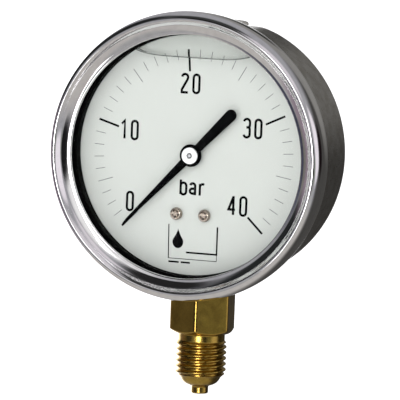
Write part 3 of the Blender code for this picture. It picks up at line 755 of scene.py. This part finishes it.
def line_ring_tree():
    """Radial lines round the dial, from their count, angles, radii, width and ink."""
    tree = bpy.data.node_groups.new("line_ring", "GeometryNodeTree")
    tree.interface.new_socket("Geometry", in_out="INPUT", socket_type="NodeSocketGeometry")
    for name, kind in (
        ("Count", "NodeSocketInt"),
        ("First Angle", "NodeSocketFloat"),
        ("Angle Step", "NodeSocketFloat"),
        ("Inner Radius", "NodeSocketFloat"),
        ("Outer Radius", "NodeSocketFloat"),
        ("Width", "NodeSocketFloat"),
        ("Thickness", "NodeSocketFloat"),
        ("Ink", "NodeSocketMaterial"),
    ):
        tree.interface.new_socket(name, in_out="INPUT", socket_type=kind)
    tree.interface.new_socket("Geometry", in_out="OUTPUT", socket_type="NodeSocketGeometry")
    given = tree.nodes.new("NodeGroupInput")
    made = tree.nodes.new("NodeGroupOutput")

    def math_node(operation, *values):
        node = tree.nodes.new("ShaderNodeMath")
        node.operation = operation
        for i, value in enumerate(values):
            if isinstance(value, float):
                node.inputs[i].default_value = value
            else:
                tree.links.new(value, node.inputs[i])
        return node.outputs[0]

    length = math_node("SUBTRACT", given.outputs["Outer Radius"], given.outputs["Inner Radius"])
    total = math_node("ADD", given.outputs["Outer Radius"], given.outputs["Inner Radius"])
    size = tree.nodes.new("ShaderNodeCombineXYZ")
    tree.links.new(length, size.inputs["X"])
    tree.links.new(given.outputs["Width"], size.inputs["Y"])
    tree.links.new(given.outputs["Thickness"], size.inputs["Z"])
    bar = tree.nodes.new("GeometryNodeMeshCube")
    tree.links.new(size.outputs[0], bar.inputs["Size"])
    outward = tree.nodes.new("ShaderNodeCombineXYZ")
    tree.links.new(math_node("MULTIPLY", total, 0.5), outward.inputs["X"])
    moved = tree.nodes.new("GeometryNodeTransform")
    tree.links.new(bar.outputs["Mesh"], moved.inputs["Geometry"])
    tree.links.new(outward.outputs[0], moved.inputs["Translation"])
    points = tree.nodes.new("GeometryNodePoints")
    tree.links.new(given.outputs["Count"], points.inputs["Count"])
    index = tree.nodes.new("GeometryNodeInputIndex")
    turn = math_node(
        "MULTIPLY_ADD",
        index.outputs[0],
        given.outputs["Angle Step"],
        given.outputs["First Angle"],
    )
    turning = tree.nodes.new("ShaderNodeCombineXYZ")
    tree.links.new(turn, turning.inputs["Z"])
    copies = tree.nodes.new("GeometryNodeInstanceOnPoints")
    tree.links.new(points.outputs[0], copies.inputs["Points"])
    tree.links.new(moved.outputs[0], copies.inputs["Instance"])
    tree.links.new(turning.outputs[0], copies.inputs["Rotation"])
    real = tree.nodes.new("GeometryNodeRealizeInstances")
    tree.links.new(copies.outputs[0], real.inputs[0])
    inked = tree.nodes.new("GeometryNodeSetMaterial")
    tree.links.new(real.outputs[0], inked.inputs["Geometry"])
    tree.links.new(given.outputs["Ink"], inked.inputs["Material"])
    tree.links.new(inked.outputs[0], made.inputs["Geometry"])
    return tree


def grown(tree, **values):
    """The plain mesh that a Geometry Nodes tree makes from its named inputs."""
    holder = bpy.data.objects.new("holder", bpy.data.meshes.new("holder"))
    bpy.context.collection.objects.link(holder)
    step = holder.modifiers.new("grow", "NODES")
    step.node_group = tree
    for item in tree.interface.items_tree:
        key = item.name.replace(" ", "_")
        if item.in_out == "INPUT" and key in values:
            step[item.identifier] = values[key]
    return mesh_of(holder)


line_ring = line_ring_tree()
first, line_end = math.radians(scale_start), 24.8
# Each set: name, first step, steps between lines, count, inner radius, width, thickness, ink.
for name, at, every, count, inner, width, thickness, paint in (
    ("scale_lines_1_bar", 0, 1, 40, 22.4, 0.15, 0.03, faint_ink),
    ("scale_lines_5_bar", 4, 10, 4, 21.0, 0.17, 0.036, faint_ink),
    ("scale_lines_10_bar", 9, 10, 4, 19.6, 0.5, 0.044, ink),
    ("scale_line_zero", 0, 1, 1, 19.6, 0.5, 0.044, ink),
):
    mesh = grown(
        line_ring,
        Count=count,
        First_Angle=first - at * step_angle,
        Angle_Step=-every * step_angle,
        Inner_Radius=inner,
        Outer_Radius=line_end,
        Width=width,
        Thickness=thickness,
        Ink=paint,
    )
    mesh.transform(dial_place)
    settle(name, mesh, paint, "root", "dial_enamel")


# Figures and unit: condensed strokes of even width in the same ink, and a plain drop in a ruled
# corner below, where such dials carry a mark. The ink reaches a little into the enamel.
ink_width, ink_height, ink_sunk = 0.58, 0.02, -0.01


def stroke(shape, points, width, height, closed=False):
    """Adds a flat line of even width along the points."""
    line = np.array(points, float)
    ahead = (np.roll(line, -1, 0) - line) if closed else np.diff(line, axis=0)
    ahead /= np.linalg.norm(ahead, axis=1)[:, None]
    side = np.stack([-ahead[:, 1], ahead[:, 0]], axis=1)
    after = side if closed else np.vstack([side, side[-1:]])
    before = np.roll(side, 1, 0) if closed else np.vstack([side[:1], side])
    middle = after + before
    middle /= np.linalg.norm(middle, axis=1)[:, None]
    spread = width / 2 / np.clip(np.sum(middle * after, axis=1), 0.55, 1)
    left, right = line + middle * spread[:, None], line - middle * spread[:, None]
    loops = [
        [shape.verts.new((x, y, z)) for x, y in edge]
        for edge, z in ((left, height), (right, height), (right, ink_sunk), (left, ink_sunk))
    ]
    count = len(line)
    for i in range(count if closed else count - 1):
        j = (i + 1) % count
        for a, b in zip(loops, loops[1:] + loops[:1]):
            shape.faces.new([a[i], a[j], b[j], b[i]])
    if not closed:
        for end in (0, count - 1):
            shape.faces.new([loop[end] for loop in loops])


tall, half_wide = 2.15, 0.73
top, bottom = tall - half_wide, half_wide - tall
glyphs = {
    "0": [(arc(half_wide, 0, 180, 13, 0, top) + arc(half_wide, 180, 360, 13, 0, bottom), True)],
    "1": [([(-0.52, 1.28), (0.22, tall), (0.22, -tall)], False)],
    "2": [
        (
            arc(half_wide, 176, -12, 14, 0, top)
            + [(0.62, 0.95), (-half_wide, -1.5), (-half_wide, -tall), (half_wide + 0.05, -tall)],
            False,
        )
    ],
    "3": [
        (arc(half_wide, 170, 0, 13, 0, top) + arc(0.48, 0, -90, 7, 0.25, 0.68), False),
        (
            [(-0.12, 0.2)]
            + arc(0.48, 90, 0, 7, 0.25, -0.28)
            + arc(half_wide, 0, -170, 13, 0, bottom),
            False,
        ),
    ],
    "4": [
        ([(0.38, tall), (-0.78, -0.92), (0.85, -0.92)], False),
        ([(0.38, tall + 0.1), (0.38, -tall)], False),
    ],
    "b": [
        ([(-0.7, 1.75), (-0.7, -1.7)], False),
        (arc(0.7, 0, 180, 11, 0, 0.35) + arc(0.7, 180, 360, 11, 0, -1.0), True),
    ],
    "a": [
        (arc(0.62, 165, 0, 11, 0, 0.43) + [(0.62, -1.7)], False),
        (
            [(0.62, -0.2), (0.1, -0.2)]
            + arc(0.58, 110, 270, 11, -0.08, -0.78)
            + [(0.2, -1.36), (0.62, -1.1)],
            False,
        ),
    ],
    "r": [
        ([(-0.5, 1.05), (-0.5, -1.7)], False),
        (arc(0.75, 168, 62, 8, 0.22, 0.25), False),
    ],
}
# Each word: name, text, middle of the text, and distance from glyph to glyph.
for name, text, centre, pitch in (
    ("figure_0", "0", (-15.4, -11.95), 2.9),
    ("figure_10", "10", (-16.2, 4.85), 2.75),
    ("figure_20", "20", (-1.25, 16.7), 2.85),
    ("figure_30", "30", (14.5, 7.2), 2.85),
    ("figure_40", "40", (11.5, -11.15), 2.85),
    ("unit_bar", "bar", (0.2, -7.7), 2.3),
):
    shape = bmesh.new()
    for place_index, letter in enumerate(text):
        shift = (place_index - (len(text) - 1) / 2) * pitch
        for points, closed in glyphs[letter]:
            moved = [(x + centre[0] + shift, y + centre[1]) for x, y in points]
            stroke(shape, moved, ink_width, ink_height, closed)
    settle(name, mesh_from(shape, name, dial_place), ink, "root", "dial_enamel")

shape = bmesh.new()
for points, width in (
    ([(-5.4, -16.6), (-5.25, -24.6)], 0.26),
    ([(6.75, -16.5), (6.75, -23.2)], 0.38),
    ([(-0.9, -23.0), (6.85, -23.0)], 0.42),
    ([(-5.25, -24.6), (6.75, -24.6), (6.75, -23.2)], 0.16),
    ([(-5.2, -25.4), (-2.6, -25.4)], 0.42),
    ([(-2.1, -25.4), (0.2, -25.4)], 0.42),
):
    stroke(shape, points, width, ink_height)
drop_line = [(0.0, 2.6), (-0.5, 1.5)] + arc(1.35, 165, 375, 21, 0, 0) + [(0.5, 1.5)]
drop_x, drop_y, drop_stretch = -3.0, -20.6, 1.15
drop = [
    [shape.verts.new((x + drop_x, drop_stretch * y + drop_y, z)) for x, y in drop_line]
    for z in (ink_height, ink_sunk)
]
bridged(shape, drop)
settle("drop_mark", mesh_from(shape, "drop_mark", dial_place), ink, "root", "dial_enamel")

# Dial screws: two small plated screws with a rounded, dished head and a cross recess.
# The plating is coloured far darker than the bright plating of the movement's screws. This is
# painted dark reflection in the middle of the heads.
screw_plating = finish(
    "screw_plating",
    1.0,
    {
        "Colour": (0.42, 0.36, 0.31),
        "Stain Colour": (0.16, 0.12, 0.1),
        "Stain Scale": 900.0,
        "Stain Amount": 0.5,
        "Grain Scale": 5000.0,
        "Roughness": 0.12,
        "Roughness Spread": 0.1,
        "Bump Height": 0.004,
    },
)
screw_y, recess_length, recess_width, recess_depth, recess_height = -14.0, 1.5, 0.34, 0.9, 1.1
for number, x in ((1, -3.5), (2, 3.5)):
    head = [(0, 0.62), (0.36, 0.68), (0.66, 0.92), (0.95, 1.2), (1.22, 1.14), (1.42, 0.88)]
    head += [(1.5, 0.55), (1.5, 0.32), (1.42, 0.3), (0.7, 0.3), (0.7, -2.0), (0, -2.0)]
    spot = dial_place @ Matrix.Translation((x, screw_y, 0))
    screw_mesh = turned("screw", head, 48, spot)
    recess = []
    for turn in (25, 115):
        slit = bmesh.new()
        bmesh.ops.create_cube(slit, size=1.0)
        bmesh.ops.scale(slit, vec=(recess_length, recess_width, recess_depth), verts=slit.verts)
        bmesh.ops.translate(slit, vec=(0, 0, recess_height), verts=slit.verts)
        turned_spot = spot @ Matrix.Rotation(math.radians(turn), 4, "Z")
        recess.append(mesh_from(slit, "recess", turned_spot))
    screw_mesh = cut_by(screw_mesh, recess)
    name = f"dial_screw_head_{number}"
    settle(name, screw_mesh, screw_plating, "root", "plated_screw", f"dial_screw_{number}")

# Pointer: blanked from thin aluminium, painted matt black, and pressed on the arbor by a bright
# turned bush. Its edges are slightly rounded by the paint.
blade_turn = 226.3
ring_radius, neck_half, tail_end, tail_half = 2.65, 0.95, 15.3, 1.35
blade_half, blade_edge, blade_height = 0.16, 0.04, 1.7
join = math.degrees(math.acos(neck_half / ring_radius))
outline = [(23.75, 0.0), (23.6, 0.12), (22.3, 0.28)]
outline += arc(ring_radius, 90 - join, 90 + join, 17)
outline += arc(tail_half, 90, 270, 21, tail_half - tail_end, 0)
outline += arc(ring_radius, -90 - join, -90 + join, 17)
outline += [(22.3, -0.28), (23.6, -0.12)]
hole = arc(1.5, 0, 360, 37)[:-1]
blade_curve = bpy.data.curves.new("blade", "CURVE")
blade_curve.dimensions = "2D"
blade_curve.fill_mode = "BOTH"
blade_curve.extrude = blade_half
blade_curve.bevel_depth = blade_edge
blade_curve.bevel_resolution = 1
blade_curve.offset = -blade_edge
for loop in (outline, hole):
    spline = blade_curve.splines.new("POLY")
    spline.points.add(len(loop) - 1)
    for point, (x, y) in zip(spline.points, loop):
        point.co = (x, y, 0, 1)
    spline.use_cyclic_u = True
blade_holder = bpy.data.objects.new("blade", blade_curve)
bpy.context.collection.objects.link(blade_holder)
blade_shape = bmesh.new()
blade_shape.from_mesh(mesh_of(blade_holder))
bmesh.ops.remove_doubles(blade_shape, verts=blade_shape.verts, dist=0.001)
blade_place = dial_place @ Matrix.Translation((0, 0, blade_height))
blade_place @= Matrix.Rotation(math.radians(blade_turn), 4, "Z")
blade_mesh = mesh_from(blade_shape, "pointer_blade", blade_place)
pointer_paint = finish(
    "pointer_paint",
    0.0,
    {
        "Colour": (0.0012, 0.0012, 0.0015),
        "Stain Colour": (0.003, 0.003, 0.0035),
        "Stain Scale": 700.0,
        "Stain Amount": 0.6,
        "Grain Scale": 6000.0,
        "Roughness": 0.6,
        "Roughness Spread": 0.12,
        "Bump Height": 0.006,
    },
    Specular_IOR_Level=0.01,
)
settle("pointer_blade", blade_mesh, pointer_paint, "pointer", "pointer_black", "pointer")
bush_profile = [(0.65, 2.62), (0.72, 2.7), (1.7, 2.7), (1.86, 2.63), (1.95, 2.48), (1.95, 2.2)]
bush_profile += [(1.2, 2.2), (1.2, 0.4), (0.65, 0.4)]
bush_mesh = turned("pointer_bush", bush_profile, 72, dial_place, closed=True)
bush_finish = finish(
    "bush_finish",
    0.35,
    {
        "Colour": (0.97, 0.97, 0.98),
        "Stain Colour": (0.9, 0.9, 0.92),
        "Stain Scale": 1200.0,
        "Stain Amount": 0.3,
        "Grain Scale": 5000.0,
        "Roughness": 0.5,
        "Roughness Spread": 0.1,
        "Bump Height": 0.004,
    },
)
settle("pointer_bush", bush_mesh, bush_finish, "pointer", "plated_screw", "pointer_hub")

# Window seal: one black rubber moulding whose inner leg stands on the dial's rim, with a groove
# outside that holds the window and a lip that the bezel presses on the glass.
seal_profile = [
    (28.2, 0.45), (28.33, 0.3), (30.0, 0.3), (30.1, 1.4), (32.2, 1.4), (32.3, 1.5), (32.3, 5.2),
    (32.2, 5.3), (29.5, 5.3), (29.4, 5.2), (29.4, 5.0), (29.5, 4.9), (30.3, 4.88), (30.32, 2.85),
    (30.25, 2.8), (28.38, 2.8), (28.25, 2.65),
]  # fmt: skip
seal_mesh = turned("window_seal", seal_profile, 160, dial_place, closed=True)
settle("window_seal", seal_mesh, seal_rubber, "root", "black_rubber", "window_gasket")


# Window and filling: a flat pane of clear glass, and the filling liquid behind it. The liquid is
# clear, so only its free surface shows, as the curved pocket of air above it.
def clear(name, tint, ior):
    """Clear glass or liquid that lets lamps through to what is behind it."""
    material = bpy.data.materials.new(name)
    material.use_nodes = True
    tree = material.node_tree
    shader = tree.nodes["Principled BSDF"]
    shader.inputs["Base Color"].default_value = (*tint, 1)
    shader.inputs["Roughness"].default_value = 0.0
    shader.inputs["IOR"].default_value = ior
    shader.inputs["Transmission Weight"].default_value = 1.0
    passing = tree.nodes.new("ShaderNodeBsdfTransparent")
    passing.inputs["Color"].default_value = (*tint, 1)
    path = tree.nodes.new("ShaderNodeLightPath")
    either = tree.nodes.new("ShaderNodeMixShader")
    tree.links.new(path.outputs["Is Shadow Ray"], either.inputs[0])
    tree.links.new(shader.outputs[0], either.inputs[1])
    tree.links.new(passing.outputs[0], either.inputs[2])
    tree.links.new(either.outputs[0], tree.nodes["Material Output"].inputs["Surface"])
    return material


pane_glass = clear("pane_glass", (0.985, 0.995, 0.99), 1.08)
pane_profile = [(0, 4.6), (29.85, 4.6), (30.0, 4.45), (30.0, 3.25), (29.85, 3.1), (0, 3.1)]
pane_mesh = turned("window_pane", pane_profile, 160, dial_place)
settle("window_pane", pane_mesh, pane_glass, "root", "window_clear", "window")

pocket_half, pocket_radius, pocket_level = 14.2, 27.98, 23.0
pocket_middle, pocket_depth, pocket_blunt, pocket_power = 1.52, 1.32, 0.9, 0.45
pocket_end = math.sqrt(pocket_radius**2 - pocket_half**2)
pocket_shape = bmesh.new()
pocket_rows, pocket_sill = [], []
pocket_turns = np.linspace(0, math.tau, 28, endpoint=False)
for along in np.linspace(-1, 1, 90):
    x = pocket_half * math.sin(along * math.pi / 2)
    roof = math.sqrt(pocket_radius**2 - x * x)
    sill = pocket_level + (pocket_end - pocket_level) * abs(x / pocket_half) ** 5
    pocket_sill.append((x, sill))
    half_height = max((roof - sill) / 2, 0.002)
    half_depth = pocket_depth * min(1.0, (half_height / pocket_blunt) ** 0.5)
    row = []
    for turn in pocket_turns:
        c, s = math.cos(turn), math.sin(turn)
        y = (roof + sill) / 2 + half_height * math.copysign(abs(s) ** pocket_power, s)
        z = pocket_middle + half_depth * math.copysign(abs(c) ** pocket_power, c)
        row.append(pocket_shape.verts.new((x, y, z)))
    pocket_rows.append(row)
bridged(pocket_shape, pocket_rows)
pocket_mesh = mesh_from(pocket_shape, "air_pocket", dial_place)
pocket_clear = clear("pocket_clear", (0.99, 0.995, 0.99), 1.12)
settle("air_pocket", pocket_mesh, pocket_clear, "root", "window_clear", crease=60)

# Meniscus: the thick edge of the liquid where it climbs the pane and the dial, along the lower
# side of the air pocket.
edge_radius, edge_levels = 0.15, (0.36, 2.76)
edge_curve = bpy.data.curves.new("meniscus", "CURVE")
edge_curve.dimensions = "3D"
edge_curve.bevel_depth = edge_radius
edge_curve.bevel_resolution = 2
edge_curve.use_fill_caps = True
for edge_level in edge_levels:
    edge = edge_curve.splines.new("POLY")
    edge.points.add(len(pocket_sill) - 1)
    for point, (x, y) in zip(edge.points, pocket_sill):
        point.co = (x, y, edge_level, 1)
edge_guide = bpy.data.objects.new("meniscus_guide", edge_curve)
bpy.context.collection.objects.link(edge_guide)
edge_mesh = mesh_of(edge_guide)
edge_mesh.name = "meniscus"
edge_mesh.transform(dial_place)
# The grey tint on this clear liquid is painted shade. It darkens the meniscus line.
edge_clear = clear("edge_clear", (0.42, 0.43, 0.42), 1.3)
settle("meniscus", edge_mesh, edge_clear, "root", "window_clear", crease=60)

# Bezel: a ring rolled from stainless sheet and mirror polished. Its inner lip holds the window's
# seal, and its skirt is rolled in behind the case's flange.
bezel_points = [
    (28.58, 4.95), (28.5, 5.35), (28.58, 5.7), (28.85, 5.85), (29.2, 5.9), (29.6, 6.06),
    (30.2, 6.36), (30.7, 6.66), (31.0, 6.98), (31.35, 7.45), (31.7, 7.85), (32.05, 8.05),
    (32.45, 7.98), (32.9, 7.65), (33.3, 7.1), (33.65, 6.35), (33.88, 5.5), (33.98, 4.55),
    (33.92, 2.8), (33.62, 1.0), (33.3, 0.3), (32.75, -0.25), (32.0, -0.5),
]  # fmt: skip
bezel_sheet = 0.62
bezel_line = sheet_metal(smooth_line(bezel_points, 4), bezel_sheet)
bezel_mesh = turned("bezel_band", bezel_line, 240, dial_place, closed=True)
bezel_steel = finish(
    "bezel_steel",
    1.0,
    {
        "Colour": (0.8, 0.79, 0.8),
        "Stain Colour": (0.66, 0.64, 0.66),
        "Stain Scale": 500.0,
        "Stain Amount": 0.4,
        "Grain Scale": 4500.0,
        "Roughness": 0.085,
        "Roughness Spread": 0.06,
        "Bump Height": 0.004,
    },
)
settle("bezel_band", bezel_mesh, bezel_steel, "root", "polished_steel", "bezel_ring")

# Fill plug: a pale grey soft moulding pressed into the hole in the case's flat. Its wide head
# seals on the flat, and it is cut open or pulled to vent the case.
plug_profile = [
    (0, 73.55), (2.5, 73.55), (2.62, 73.6), (2.9, 73.85), (3.0, 73.9), (7.25, 73.9),
    (7.6, 73.8), (7.78, 73.55), (7.8, 73.3), (7.7, 72.98), (7.5, 72.9), (5.7, 72.9),
    (5.7, 70.1), (5.55, 69.8), (5.1, 69.1), (4.2, 69.1), (4.1, 69.2), (4.1, 72.4), (0, 72.5),
]  # fmt: skip
plug_mesh = turned("plug_cap", plug_profile, 96, plug_axis)
plug_soft = finish(
    "plug_soft",
    0.0,
    {
        "Colour": (0.5, 0.485, 0.44),
        "Stain Colour": (0.38, 0.36, 0.32),
        "Stain Scale": 300.0,
        "Stain Amount": 0.5,
        "Grain Scale": 3500.0,
        "Roughness": 0.5,
        "Roughness Spread": 0.15,
        "Bump Height": 0.02,
    },
)
settle("plug_cap", plug_mesh, plug_soft, "fill_plug", "plug_rubber", "fill_plug")
